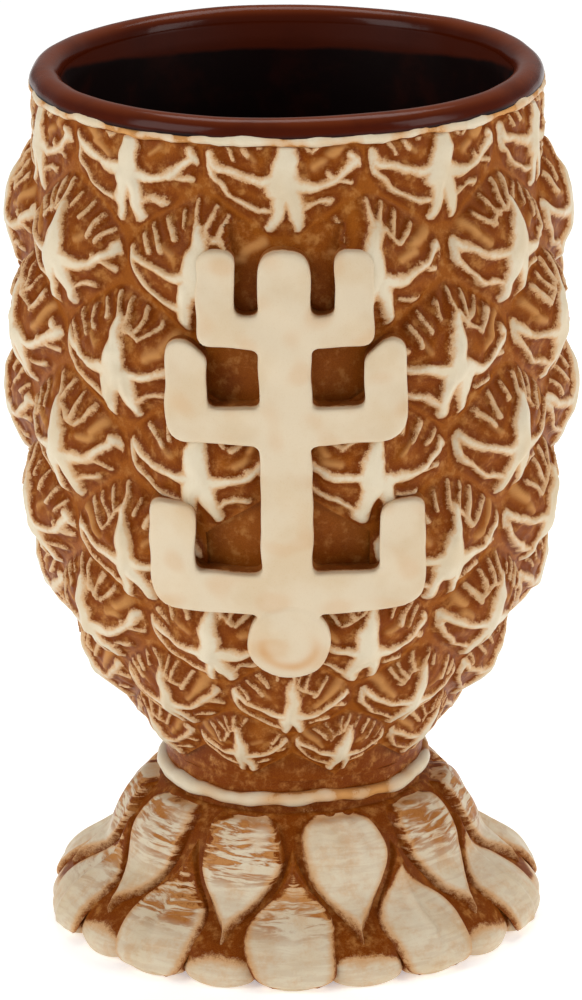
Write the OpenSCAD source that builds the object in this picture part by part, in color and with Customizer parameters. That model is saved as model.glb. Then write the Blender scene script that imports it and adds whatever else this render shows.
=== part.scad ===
// Pedestal tiki mug: a cast cup on a flared foot, with raised scales, petals and a totem.
// Millimetres. Z is up, the table is z = 0, the axis is x = y = 0 and the totem faces -Y.

/* [Overall] */
// Height from the table to the top of the lip
total_h = 150; // [145:1:155]
// Radius of the cup wall at its widest, between the scales
belly_r = 44.2; // [43.5:0.1:45]
// Radius of the neck between cup and foot
neck_r = 22.4; // [21.5:0.1:23.5]
// Radius of the foot at its widest, under the petals
hem_r = 42.2; // [41:0.1:43]

/* [Cup] */
// Thickness of the cast wall
wall_t = 4; // [3.6:0.1:4.6]
// Thickness of the glaze coat inside the cup
glaze_t = 0.5; // [0.4:0.1:0.8]
// Radius of the rolled lip's section
lip_roll_r = 2.7; // [2.4:0.1:3]
// Radius of the circle that the lip's section runs on
lip_ring_r = 40.1; // [39.6:0.1:40.6]

/* [Scales] */
// How many scales stand in each row
scales_around = 10; // [8:1:12]
// How far the middle of a full-height scale stands out from the wall
scale_rise = 5; // [4:0.1:5.2]

/* [Totem] */
// How far the totem stands out from the wall
totem_rise = 5.4; // [5.2:0.1:6]
// Width of the upright post
post_w = 8.4; // [7:0.1:10]
// Radius of the disc at the post's foot
disc_r = 6.9; // [6:0.1:8]

/* [Foot] */
// How many long petals stand on the foot, with as many short ones between
petals_around = 10; // [8:1:12]
// How far the middle of a petal stands out from the foot
petal_rise = 2; // [1.5:0.1:2.5]

/* [Hidden] */
$fn = 96;

clay = "burlywood";
stained_clay = "sienna";
glaze = "maroon";

hk = total_h / 150;

// Heights of the joints between the castings
foot_top_z = 24.5 * hk;
neck_top_z = 30.5 * hk;
ridge_bottom_z = 142.6 * hk;
ridge_top_z = 144.6 * hk;
lip_mid_z = total_h - lip_roll_r;

// Stations [height, radius] that the cup's outside passes through
cup_stations = [
    [neck_top_z, neck_r], [36 * hk, 24.2], [46 * hk, 31.4], [60 * hk, 38.4], [80 * hk, belly_r - 1.4],
    [103 * hk, belly_r - 0.2], [122 * hk, belly_r - 0.8], [134 * hk, belly_r - 2.4], [ridge_top_z, belly_r - 2.8]
];

// Stations [height, radius] that the foot's outside passes through
foot_stations = [
    [0, hem_r - 0.7], [1.2 * hk, hem_r - 0.1], [3 * hk, hem_r - 0.2], [5.6 * hk, hem_r - 2.4],
    [11 * hk, hem_r - 10], [14 * hk, hem_r - 11.8], [17 * hk, hem_r - 13.1], [21 * hk, hem_r - 15.6],
    [foot_top_z, neck_r]
];

// Smooth curve through stations: slopes at the stations, then a cubic between two of them
function span_slope(s, i) = (s[i + 1][1] - s[i][1]) / (s[i + 1][0] - s[i][0]);
function station_slope(s, i) =
    i == 0 ? span_slope(s, 0) :
    i == len(s) - 1 ? span_slope(s, i - 1) :
    let (below = s[i][0] - s[i - 1][0], above = s[i + 1][0] - s[i][0])
    (span_slope(s, i - 1) * above + span_slope(s, i) * below) / (below + above);
function span_at(s, z, i = 0) = i >= len(s) - 2 || z < s[i + 1][0] ? i : span_at(s, z, i + 1);
function cubic_r(s, i, z) =
    let (h = s[i + 1][0] - s[i][0], t = (z - s[i][0]) / h)
    s[i][1] * (1 + 2 * t) * (1 - t) * (1 - t) + s[i + 1][1] * t * t * (3 - 2 * t)
    + h * (station_slope(s, i) * t * (1 - t) * (1 - t) - station_slope(s, i + 1) * t * t * (1 - t));
function curve_r(s, z) = cubic_r(s, span_at(s, z), z);

// The outsides as they are turned: straight bands between evenly spaced heights
cup_bands = 24;
foot_bands = 16;
cup_table = [for (i = [0:cup_bands])
    let (z = neck_top_z + (ridge_top_z - neck_top_z) * i / cup_bands) [z, curve_r(cup_stations, z)]];
foot_table = [for (i = [0:foot_bands])
    let (z = foot_top_z * i / foot_bands) [z, curve_r(foot_stations, z)]];
function cup_r(z) = lookup(z, cup_table);
function foot_r(z) = lookup(z, foot_table);

// ---- Cup ----

floor_z = 38 * hk;
floor_flat_r = 12;
cup_top_r = cup_table[cup_bands][1];
inside_z = [for (i = [2:cup_bands]) cup_table[i][0] + (floor_z - cup_table[2][0]) * (1 - (i - 2) / (cup_bands - 2))];
lip_inside_r = lip_ring_r - lip_roll_r;
clay_mouth_r = lip_inside_r + glaze_t;
function inside_r(z) = cup_r(z) - wall_t;

// Inner line of the clay, from the middle of the floor up to the lip
clay_inside = concat([[0, floor_z]], [[floor_flat_r, floor_z]],
    [for (z = inside_z) if (z > floor_z + 2) [inside_r(z), z]]);
// Inner line of the glaze, which lies one coat thickness further in
glaze_inside = [for (p = clay_inside) p[0] == 0 ? [0, p[1] + glaze_t] :
    p[0] <= floor_flat_r ? [p[0], p[1] + glaze_t] : [p[0] - glaze_t, p[1] + 0.15]];

// The clay core of the lip is one glaze coat smaller than the finished lip
module lip_circle(coat) {
    translate([lip_ring_r, lip_mid_z])
        circle(r = lip_roll_r - coat, $fn = 48);
}

module bowl_section() {
    difference() {
        union() {
            polygon(concat([[0, neck_top_z]], [for (p = cup_table) [p[1], p[0]]],
                [[lip_ring_r + lip_roll_r - glaze_t, lip_mid_z], [0, lip_mid_z]]));
            lip_circle(glaze_t);
        }
        polygon(concat(clay_inside, [[clay_mouth_r, lip_mid_z], [0, lip_mid_z]]));
    }
}

module bowl() {
    color(stained_clay)
        rotate_extrude()
            bowl_section();
}

// One coat lines the cup, runs over the lip and stops above the ridge
module inner_glaze() {
    color(glaze)
        rotate_extrude()
            difference() {
                union() {
                    polygon(concat(clay_inside, [[clay_mouth_r, lip_mid_z], [0, lip_mid_z]]));
                    difference() {
                        lip_circle(0);
                        translate([0, lip_mid_z - lip_roll_r]) square([lip_ring_r, lip_roll_r]);
                    }
                }
                polygon(concat(glaze_inside, [[lip_inside_r, lip_mid_z], [0, lip_mid_z]]));
                bowl_section();
            }
}

ridge_r = 0.9;
module rim_ridge() {
    color(clay)
        rotate_extrude()
            difference() {
                translate([cup_top_r + 0.1, (ridge_bottom_z + ridge_top_z) / 2])
                    circle(r = ridge_r, $fn = 24);
                bowl_section();
                lip_circle(0);
            }
}

// ---- Scales ----

step_deg = 360 / scales_around;
// Height of a scale that has the full rise; the lip cuts the first row down to a lower one
full_scale_h = 24.4 * hk;
first_row_rise = 2;
// Height of the lowest point of the scales in each row; the first two rows lie above the lip
row_low_z = [161.5, 145.5, 129.5, 113.5, 97, 80.8, 65, 51.5, 41, 32.6] * hk;
// Part of the row spacing over which two neighbours share an upright edge
edge_share = 0.45;
function row_edge(row) = edge_share * (row_low_z[row] - row_low_z[row + 1]);

// Corners [degrees, height] of the scale in a row, from its top round by the +X side
function scale_corners(row) =
    let (top = min(row_low_z[row - 1] - row_edge(row - 1), ridge_bottom_z),
         high = min(row_low_z[row], ridge_bottom_z),
         low = row_low_z[row] - row_edge(row),
         bottom = row_low_z[row + 1],
         half = step_deg / 2)
    [[0, top], [half, high], [half, low], [0, bottom], [-half, low], [-half, high]];

function row_rise(row) = row == 1 ? first_row_rise :
    let (c = scale_corners(row)) scale_rise * min(1, (c[0][1] - c[3][1]) / full_scale_h);

rings = 3;
// Size of a scale as a part of its place in the row, which leaves a groove to its neighbours
scale_fill = 0.965;
function scale_middle(c) = [0, (c[1][1] + c[2][1]) / 2];
// Points of one ring, j steps out from the middle, as [degrees, height, rise]
function scale_ring(c, j, full_rise) =
    let (m = scale_middle(c), f = j / rings, rise = full_rise * (1 - f * f))
    j == 0 ? [[m[0], m[1], full_rise]] :
    [for (s = [0:5]) for (t = [0:j - 1])
        let (e = c[s] + (c[(s + 1) % 6] - c[s]) * t / j, p = m + (e - m) * f * scale_fill) [p[0], p[1], rise]];
function scale_grid(row) =
    let (c = scale_corners(row), rise = row_rise(row)) [for (j = [0:rings]) each scale_ring(c, j, rise)];

// Slope of the cup's wall, and a point that stands out from the wall along its normal
function cup_slope(z) = (cup_r(z + 1) - cup_r(z - 1)) / 2;
function on_cup(g, lift) =
    let (slope = cup_slope(g[1]), n = norm([1, slope]),
         r = cup_r(g[1]) + g[2] * lift / n, z = g[1] - g[2] * lift * slope / n)
    [r * sin(g[0]), -r * cos(g[0]), z];

// Index of point k of ring j, and the faces between two rings
function ring_index(j, k) = j == 0 ? 0 : 1 + 3 * j * (j - 1) + k % (6 * j);
function ring_faces(j) = [for (s = [0:5]) each concat(
    [for (t = [0:j - 1]) [ring_index(j - 1, s * (j - 1) + t), ring_index(j, s * j + t), ring_index(j, s * j + t + 1)]],
    j < 2 ? [] : [for (t = [0:j - 2])
        [ring_index(j - 1, s * (j - 1) + t), ring_index(j, s * j + t + 1), ring_index(j - 1, s * (j - 1) + t + 1)]])];
front_faces = [for (j = [1:rings]) each ring_faces(j)];
edge_start = ring_index(rings, 0);
front_count = edge_start + 6 * rings;
// The back shares the edge of the front, and has middle points of its own
back_faces = [for (f = front_faces) [for (i = [2, 1, 0]) f[i] < edge_start ? f[i] + front_count : f[i]]];

module scale(row) {
    grid = scale_grid(row);
    polyhedron(
        points = concat([for (g = grid) on_cup(g, 1)],
            [for (i = [0:edge_start - 1]) on_cup(grid[i], 0)]),
        faces = concat(front_faces, back_faces),
        convexity = 4);
}

// Odd rows have a scale in front; even rows are turned by half a step.
// The totem takes the place of the scales behind it and cuts those beside it.
module scale_row(row, bare_front = false, beside_totem = false) {
    turn = row % 2 == 1 ? 0 : step_deg / 2;
    color(clay)
        for (i = [0:scales_around - 1]) {
            angle = turn + step_deg * i;
            from_front = min(angle, 360 - angle);
            near = beside_totem && from_front < 1.2 * step_deg;
            if (!(bare_front && from_front < 1)) {
                if (near)
                    difference() {
                        rotate([0, 0, angle]) scale(row);
                        totem_prism();
                    }
                else
                    rotate([0, 0, angle]) scale(row);
            }
        }
}

module scale_row_1() { scale_row(1); }
module scale_row_2() { scale_row(2, beside_totem = true); }
module scale_row_3() { scale_row(3, bare_front = true, beside_totem = true); }
module scale_row_4() { scale_row(4, beside_totem = true); }
module scale_row_5() { scale_row(5, bare_front = true, beside_totem = true); }
module scale_row_6() { scale_row(6, beside_totem = true); }
module scale_row_7() { scale_row(7, beside_totem = true); }
module scale_row_8() { scale_row(8); }

// ---- Totem ----

post_top_z = 129.5 * hk;
disc_z = 62.4 * hk;
corner_r = 2.2;
// Each tier: inner and outer side of its prong, then its underside, notch and top heights
top_tier = [8.0, 14.2, 113.8 * hk, 118.8 * hk, 129.4 * hk];
middle_tier = [12.6, 19.5, 97.6 * hk, 103.7 * hk, 114.2 * hk];
low_tier = [15.0, 22.4, 67.8 * hk, 75 * hk, 86.8 * hk];

// Rectangle with rounded corners
module soft_bar(x0, x1, z0, z1, r) {
    translate([x0 + r, z0]) square([x1 - x0 - 2 * r, z1 - z0]);
    translate([x0, z0 + r]) square([x1 - x0, z1 - z0 - 2 * r]);
    for (x = [x0 + r, x1 - r], z = [z0 + r, z1 - r])
        translate([x, z]) circle(r = r, $fn = 32);
}

// One arm of a tier, on the +X side: a bar from the post, and the prong that stands on its end
module tier_arm(tier) {
    soft_bar(tier[0], tier[1], tier[2], tier[4], corner_r);
    translate([post_w / 2, tier[2]]) square([tier[0] - post_w / 2 + corner_r, tier[3] - tier[2]]);
}

module tier_outline(tier) {
    tier_arm(tier);
    mirror([1, 0]) tier_arm(tier);
}

module disc_outline() {
    translate([0, disc_z]) circle(r = disc_r);
}

module post_outline() {
    difference() {
        union() {
            translate([-post_w / 2, disc_z]) square([post_w, post_top_z - post_w / 2 - disc_z]);
            translate([0, post_top_z - post_w / 2]) circle(d = post_w, $fn = 48);
        }
        disc_outline();
    }
}

// Stands an outline up in front of the axis
prism_depth = 60;
module in_front() {
    rotate([90, 0, 0])
        linear_extrude(prism_depth)
            children();
}

module totem_prism() {
    in_front() {
        post_outline();
        disc_outline();
        tier_outline(top_tier);
        tier_outline(middle_tier);
        tier_outline(low_tier);
    }
}

// The layer that the totem is cut from: it follows the wall at an even height
module totem_layer() {
    rotate_extrude()
        polygon(concat([for (p = cup_table) [p[1], p[0]]],
            [for (i = [cup_bands:-1:0]) [cup_table[i][1] + totem_rise, cup_table[i][0]]]));
}

module totem_piece() {
    color(clay)
        intersection() {
            totem_layer();
            in_front() children();
        }
}

module totem_post() { totem_piece() post_outline(); }
module totem_top_tier() { totem_piece() tier_outline(top_tier); }
module totem_middle_tier() { totem_piece() tier_outline(middle_tier); }
module totem_low_tier() { totem_piece() tier_outline(low_tier); }
module totem_disc() { totem_piece() disc_outline(); }

// ---- Neck and foot ----

neck_bore_r = 16.5;
neck_waist_r = 38;
neck_waist = 0.35;
bead_r = 1.5;
bead_z = 25.4 * hk;

// A short hollow stem with a slightly drawn-in side joins the castings
module neck_section() {
    difference() {
        translate([neck_bore_r, foot_top_z]) square([neck_r - neck_bore_r, neck_top_z - foot_top_z]);
        translate([neck_r + neck_waist_r - neck_waist, (neck_top_z + foot_top_z) / 2])
            circle(r = neck_waist_r - 0.05, $fn = 360);
    }
}

module neck() {
    color(stained_clay)
        rotate_extrude()
            neck_section();
}

module foot_section() {
    inside = [for (p = foot_table) [max(p[1] - wall_t - 0.5, neck_bore_r), p[0]]];
    polygon(concat([for (p = foot_table) [p[1], p[0]]], [for (i = [foot_bands:-1:0]) inside[i]]));
}

module foot() {
    color(stained_clay)
        rotate_extrude()
            foot_section();
}

module collar_bead() {
    color(clay)
        rotate_extrude()
            difference() {
                translate([neck_r, bead_z]) circle(r = bead_r, $fn = 32);
                neck_section();
                foot_section();
            }
}

// A petal lies on the foot between two heights, as rows of points across its width
petal_rows = 9;
petal_across = 6;
petal_deg = 360 / petals_around;
long_petal_top_z = 22.3 * hk;
long_petal_low_z = 4 * hk;
short_petal_top_z = 16 * hk;
short_petal_low_z = 1.4 * hk;

function foot_slope(z) = (foot_r(z + 1) - foot_r(z - 1)) / 2;
function on_foot(deg, z, rise) =
    let (slope = foot_slope(z), n = norm([1, slope]),
         r = foot_r(z) + rise / n, h = z - rise * slope / n)
    [r * sin(deg), -r * cos(deg), h];

// Half width in degrees at t, from 0 at the top to 1 at the lower end
function long_half(t) = 0.27 * petal_deg * pow(sin(180 * pow(t, 0.95)), 0.8);
function short_half(t) = 0.36 * petal_deg * pow(sin(180 * pow(t, 1.7)), 0.75);

// Rows between two single end points; the front of each row is arched and its back lies on the foot
module petal(top_z, low_z, long) {
    side = petal_across + 1;
    rows = [for (i = [1:petal_rows]) i / (petal_rows + 1)];
    front = [for (t = rows) for (k = [0:petal_across])
        let (u = 2 * k / petal_across - 1, half = long ? long_half(t) : short_half(t))
        on_foot(u * half, top_z + (low_z - top_z) * t, petal_rise * (1 - u * u) * pow(sin(180 * t), 0.5))];
    back = [for (t = rows) for (k = [1:petal_across - 1])
        let (u = 2 * k / petal_across - 1, half = long ? long_half(t) : short_half(t))
        on_foot(u * half, top_z + (low_z - top_z) * t, 0)];
    tip = len(front) + len(back);
    function f(i, k) = i * side + k;
    function b(i, k) = k == 0 || k == petal_across ? f(i, k) : len(front) + i * (petal_across - 1) + k - 1;
    last = petal_rows - 1;
    faces = concat(
        [for (i = [0:last - 1]) for (k = [0:petal_across - 1]) each
            [[f(i, k), f(i, k + 1), f(i + 1, k + 1)], [f(i, k), f(i + 1, k + 1), f(i + 1, k)],
             [b(i, k), b(i + 1, k + 1), b(i, k + 1)], [b(i, k), b(i + 1, k), b(i + 1, k + 1)]]],
        [for (k = [0:petal_across - 1]) each
            [[tip, f(0, k + 1), f(0, k)], [tip, b(0, k), b(0, k + 1)],
             [tip + 1, f(last, k), f(last, k + 1)], [tip + 1, b(last, k + 1), b(last, k)]]]);
    polyhedron(
        points = concat(front, back, [on_foot(0, top_z, 0), on_foot(0, low_z, 0)]),
        faces = faces, convexity = 4);
}

module long_petals() {
    color(clay)
        for (i = [0:petals_around - 1])
            rotate([0, 0, petal_deg * (i + 0.5)])
                petal(long_petal_top_z, long_petal_low_z, true);
}

module short_petals() {
    color(clay)
        for (i = [0:petals_around - 1])
            rotate([0, 0, petal_deg * i])
                petal(short_petal_top_z, short_petal_low_z, false);
}

bowl();
inner_glaze();
rim_ridge();
scale_row_1();
scale_row_2();
scale_row_3();
scale_row_4();
scale_row_5();
scale_row_6();
scale_row_7();
scale_row_8();
totem_post();
totem_top_tier();
totem_middle_tier();
totem_low_tier();
totem_disc();
neck();
collar_bead();
foot();
long_petals();
short_petals();
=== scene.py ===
# Looks of the pedestal tiki mug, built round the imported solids.
# Meshes are in metres. Sizes in the constants are millimetres, as in the part's own source.
from math import cos, pi, radians, sin

import bmesh
import bpy
import numpy as np
from mathutils import Matrix, Vector


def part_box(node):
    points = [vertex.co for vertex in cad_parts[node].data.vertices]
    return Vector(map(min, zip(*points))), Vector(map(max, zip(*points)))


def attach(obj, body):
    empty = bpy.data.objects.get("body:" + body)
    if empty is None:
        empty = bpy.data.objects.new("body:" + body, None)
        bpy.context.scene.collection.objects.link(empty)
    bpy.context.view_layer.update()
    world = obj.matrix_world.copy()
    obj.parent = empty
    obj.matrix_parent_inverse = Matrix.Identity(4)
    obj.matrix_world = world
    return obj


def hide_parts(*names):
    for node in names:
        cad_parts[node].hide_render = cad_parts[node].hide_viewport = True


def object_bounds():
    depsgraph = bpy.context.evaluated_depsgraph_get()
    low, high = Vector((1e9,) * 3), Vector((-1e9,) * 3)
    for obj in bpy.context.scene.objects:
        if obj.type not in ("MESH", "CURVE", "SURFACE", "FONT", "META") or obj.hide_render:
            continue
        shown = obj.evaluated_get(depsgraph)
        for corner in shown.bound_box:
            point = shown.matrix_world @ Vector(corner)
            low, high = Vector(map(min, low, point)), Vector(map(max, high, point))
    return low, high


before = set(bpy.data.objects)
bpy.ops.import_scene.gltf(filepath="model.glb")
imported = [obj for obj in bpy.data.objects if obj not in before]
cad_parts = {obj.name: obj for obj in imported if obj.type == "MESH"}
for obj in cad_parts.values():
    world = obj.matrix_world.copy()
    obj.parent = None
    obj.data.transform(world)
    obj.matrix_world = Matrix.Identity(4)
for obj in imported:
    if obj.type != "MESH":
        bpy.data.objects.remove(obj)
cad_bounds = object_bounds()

MM = 0.001
BODY = "root"
TOTAL_H = cad_bounds[1].z / MM
# Heights that carry HK are written for a mug 150 high
HK = TOTAL_H / 150

# ---- Sizes, in millimetres and degrees ----

SCALES_AROUND = 10
HALF_STEP = 180 / SCALES_AROUND
# ROW_LOW[k + 1] is the lowest point of the scales in row k. The first two belong to rows above the lip
ROW_LOW = np.array([161.5, 145.5, 129.5, 113.5, 97, 80.8, 65, 51.5, 40.6, 31.6]) * HK
ROWS = len(ROW_LOW) - 2
# The upright side of a scale, as a part of the step between rows
EDGE_SHARE = 0.45
# A scale this high rises in full; lower ones rise less
FULL_SCALE_H = 24.4 * HK
SCALE_RISE = 5.0
FIRST_ROW_RISE = 2.0
# Half width and half height of the figure on a full-size scale
FIGURE_HALF_W, FIGURE_HALF_H = 14.6, 12.4
# How far the trunk of that figure stands out
FIGURE_STAND = 1.95
SCALE_ACROSS, SCALE_UP = 88, 80
PATTERNS = 4
# Rows that have no scale in the middle of the front, under the totem
BARE_FRONT_ROWS = (3, 5)
# Ground without strokes between the arms of the totem: half width, lowest and highest height
BARE_GROUND = ((9.5, 114, 133), (13.5, 98, 114))
BARE_GROUND_LIFT = 0.6
# How far the backs of the scales and petals reach into the clay behind them
SCALE_ROOT = 1.2
PETAL_ROOT = 1.6
# Relief of clay that is stained all over
STAINED = -2.0

WALL_T = 4.0
GLAZE_T = 0.5
NECK_TOP = 30.5 * HK
FOOT_TOP = 24.5 * HK
FOOT_HOLLOW_R = 16.5
WALL_TOP = 144.6 * HK
RELIEF_TOP = 146.0 * HK
LIP_ROLL = 2.7
LIP_RING = 40.1
LIP_MID = TOTAL_H - LIP_ROLL
GLAZE_EDGE_R = 43
FLOOR_Z = 38 * HK
# How far the cup's wall lies under the scales
WALL_SUNK = 0.5

TOTEM_RISE = 5.4
TOTEM_DEPTH = 6.4
# Size of the even quads that the totem is made of
TOTEM_GRAIN = 0.36

PETALS_AROUND = 10
PETAL_STEP = 360 / PETALS_AROUND
PETAL_PATTERNS = 3
PETAL_ACROSS, PETAL_UP = 44, 72
# Outlines of the petals: (height, half width in degrees), from the top down
LONG_OUTLINE = ((24.4, 12.4), (23.2, 14), (21, 14.6), (18.5, 14.2), (16, 13.0), (14, 11.2), (12, 8.8),
                (10.5, 6.4), (9.2, 3.6), (8.4, 1.5), (7.6, 0.7), (6.6, 0.6))
SHORT_OUTLINE = ((20.5, 0.5), (18.5, 1.3), (17, 2.4), (15.5, 3.8), (14, 5.4), (12.5, 7.4), (11, 9.6),
                 (9.5, 11.3), (8, 11.6), (6, 10.9), (4, 10.4), (2.4, 9.6), (1.2, 7.8), (0.5, 4.5))

# An edge between faces that turn more than this, in radians, stays sharp
SHARP = 1.2
# Stands for no stroke near: a point that lies this far outside all of them
FAR_OUTSIDE = -9.0


# ---- Nodes ----

def add_node(tree, kind, settings=None, sockets=None):
    """Adds a node: its settings first, then a value or a link for each named or numbered socket."""
    node = tree.nodes.new(kind)
    for key, value in (settings or {}).items():
        setattr(node, key, value)
    for key, value in (sockets or {}).items():
        if isinstance(value, Number):
            value = value.socket
        if isinstance(value, bpy.types.NodeSocket):
            tree.links.new(value, node.inputs[key])
        else:
            node.inputs[key].default_value = value
    return node


class Number:
    """A number socket of a node tree. Arithmetic on it adds Math nodes."""

    def __init__(self, tree, socket):
        self.tree, self.socket = tree, socket

    def math(self, operation, first, second):
        node = add_node(self.tree, "ShaderNodeMath", {"operation": operation}, {0: first, 1: second})
        return Number(self.tree, node.outputs[0])

    def __add__(self, other):
        return self.math("ADD", self, other)

    def __sub__(self, other):
        return self.math("SUBTRACT", self, other)

    def __mul__(self, other):
        return self.math("MULTIPLY", self, other)

    def __rsub__(self, other):
        return self.math("SUBTRACT", other, self)

    def __rtruediv__(self, other):
        return self.math("DIVIDE", other, self)

    __radd__, __rmul__ = __add__, __mul__

    def largest(self, other):
        return self.math("MAXIMUM", self, other)

    def smooth(self, low, high):
        """0 at low and before it, 1 at high and beyond, with a soft passage; low may be the larger."""
        ends = (low, high, 0.0, 1.0) if low < high else (high, low, 1.0, 0.0)
        names = ("From Min", "From Max", "To Min", "To Max")
        node = add_node(self.tree, "ShaderNodeMapRange", {"interpolation_type": "SMOOTHSTEP"},
                        {"Value": self, **dict(zip(names, ends))})
        return Number(self.tree, node.outputs[0])


def linear(red, green, blue):
    """Scene-linear colour of a screen colour given in 0 to 255."""
    parts = [c / 255 for c in (red, green, blue)]
    return [c / 12.92 if c < 0.04045 else ((c + 0.055) / 1.055) ** 2.4 for c in parts] + [1.0]


class Finish:
    """A material under construction, with one Principled shader."""

    def __init__(self, name):
        self.material = bpy.data.materials.new(name)
        self.material.use_nodes = True
        self.tree = self.material.node_tree
        self.tree.nodes.clear()
        self.shader = self.add("ShaderNodeBsdfPrincipled")
        self.add("ShaderNodeOutputMaterial", None, {"Surface": self.shader.outputs[0]})
        self.place = self.add("ShaderNodeTexCoord").outputs["Object"]

    def add(self, kind, settings=None, sockets=None):
        return add_node(self.tree, kind, settings, sockets)

    def attribute(self, name):
        return Number(self.tree, self.add("ShaderNodeAttribute", {"attribute_name": name}).outputs["Fac"])

    def stretched(self, across, up):
        """Place in millimetres, scaled differently across and up."""
        size = [across / MM, across / MM, up / MM]
        return self.add("ShaderNodeMapping", None, {"Vector": self.place, "Scale": size}).outputs[0]

    def noise(self, vector, scale=1.0, detail=3.0, roughness=0.55, distortion=0.0):
        node = self.add("ShaderNodeTexNoise", None, {
            "Vector": vector, "Scale": scale, "Detail": detail, "Roughness": roughness,
            "Distortion": distortion})
        return Number(self.tree, node.outputs[0])

    def mix(self, factor, first, second):
        node = self.add("ShaderNodeMix", {"data_type": "RGBA"}, {0: factor, 6: first, 7: second})
        return node.outputs[2]

    def set(self, **sockets):
        for key, value in sockets.items():
            socket = self.shader.inputs[key.replace("_", " ")]
            if isinstance(value, Number):
                value = value.socket
            if isinstance(value, bpy.types.NodeSocket):
                self.tree.links.new(value, socket)
            else:
                socket.default_value = value

    def bump(self, height, distance, strength):
        node = self.add("ShaderNodeBump", None,
                        {"Height": height, "Distance": distance * MM, "Strength": strength})
        self.set(Normal=node.outputs[0])


# ---- Finishes ----

CREAM = linear(218, 205, 179)
CREAM_WARM = linear(206, 183, 147)
HONEY = linear(202, 146, 86)
STAIN = linear(150, 83, 22)
# Darker stain where it pools, also used as painted shade under the bowl
STAIN_POOLED_AND_SHADED = linear(108, 44, 2)
STAIN_THIN = linear(188, 130, 68)
# Nearly black: the glaze deep inside the cup, with painted shade
GLAZE_DEEP_SHADED = linear(16, 3, 2)
GLAZE_LIP = linear(70, 20, 3)
# Top of the lip: redder thin glaze with a painted highlight
GLAZE_THIN_HIGHLIT = linear(118, 52, 18)
GLAZE_CLOUD = linear(54, 14, 4)


def brush_streaks(f, even):
    """How wet each place of a brushed streak is, and a thin wash of stain over the rest."""
    brushed = f.noise(f.stretched(0.15, 1.15), 1.0, 4.0, 0.6, 0.5)
    patches = f.noise(even, 0.1, 2.0, 0.5)
    wet = brushed.smooth(0.42, 0.6) * patches.smooth(0.2, 0.52) * (f.attribute("wear") * 2.0 + 0.14)
    wash = f.noise(even, 0.3, 5.0, 0.7).smooth(0.44, 0.7) * 0.36
    return wet, wash


def stain_colour(f, even, relief, grain):
    """Brown stain, darker where it pools beside a stroke and lighter where it was scuffed; the same
    darkening paints shade under the bowl.
    """
    pool_and_shade = relief.smooth(-2.4, -0.3)
    scuff = f.noise(even, 0.5, 5.0, 0.68).smooth(0.47, 0.72)
    brown = f.mix(pool_and_shade * 0.6 + grain.smooth(0.62, 0.4) * 0.35, STAIN, STAIN_POOLED_AND_SHADED)
    return f.mix(scuff * 0.62, brown, STAIN_THIN)


def stained_clay_finish(name, spread=1.0, streaks=0.0):
    """Cream clay with a brown stain wiped off the high places, under a thin clear glaze.
    The attribute relief is how far a point lies inside a raised stroke, in millimetres; under the bowl it is
    raised to paint shade. tint is how much stain is left on a high place, with painted shade on the lower
    half of the totem's disc, and wear how much of a brushed streak shows, from 0 to 1.
    spread widens the soft edge of the stain, and streaks is the strength of the brushed streaks."""
    f = Finish(name)
    even = f.stretched(1, 1)
    ragged = f.noise(even, 0.9, 5.0, 0.66)
    fine = f.noise(even, 4.0, 3.0, 0.6)
    cloudy = f.noise(even, 0.11, 3.0, 0.5)
    grain = f.noise(even, 6.5, 2.0, 0.5)
    tint = f.attribute("tint")
    relief = f.attribute("relief") + (ragged - 0.5) * 1.25 + (fine - 0.5) * 0.7 + (cloudy - 0.5) * 0.5
    clay = f.mix(cloudy.smooth(0.4, 0.66) * 0.5 + fine.smooth(0.5, 0.8) * 0.35, CREAM, CREAM_WARM)
    if streaks:
        wet, wash = brush_streaks(f, even)
        relief = relief - wet * 0.8
        clay = f.mix(wet * streaks, f.mix(wash, clay, HONEY), STAIN)
    clean = relief.smooth(-0.16 * spread, 0.24 * spread)
    rim = relief.smooth(1.0 * spread, 0.0)
    clay = f.mix((rim * 0.8).largest(tint), clay, HONEY)
    brown = f.mix(tint, stain_colour(f, even, relief, grain), HONEY)
    f.set(Base_Color=f.mix(clean, brown, clay), Roughness=0.4 - clean * 0.05 + (fine - 0.5) * 0.2,
          Specular_IOR_Level=0.06)
    f.bump(ragged * 0.5 + fine * 0.3 + grain * 0.2, 0.14, 0.5)
    return f.material


def brown_glaze_finish():
    """Thick glossy chestnut glaze, nearly black inside the cup with painted shade, and redder where it runs
    over the lip, with a painted highlight along its top.
    Heights and distances are in metres here."""
    f = Finish("brown_glaze")
    even = f.stretched(1, 1)
    cloudy = f.noise(even, 0.12, 4.0, 0.55)
    place = f.add("ShaderNodeSeparateXYZ", None, {0: f.place}).outputs
    height = Number(f.tree, place[2])
    # Painted shade: below a crisp line the inside of the cup is nearly black; on the far wall the line sits
    # lower, so a painted lit band of redder glaze shows there
    back = Number(f.tree, place[1]).smooth(-0.005, 0.042)
    depth = height + (cloudy - 0.5) * 0.0012 + back * 0.0045
    colour = f.mix(depth.smooth(0.1467, 0.1477), GLAZE_DEEP_SHADED, GLAZE_LIP)
    # Painted highlight along the top of the lip, over the thinner glaze there
    colour = f.mix(height.smooth(0.1482, 0.1499) * 0.7, colour, GLAZE_THIN_HIGHLIT)
    colour = f.mix(cloudy.smooth(0.45, 0.75) * 0.4, colour, GLAZE_CLOUD)
    f.set(Base_Color=colour, Roughness=0.18 + height.smooth(0.1474, 0.1468) * 0.4, Specular_IOR_Level=0.11)
    f.bump(f.noise(even, 0.25, 2.0), 0.15, 0.4)
    return f.material


# ---- Meshes ----

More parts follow.
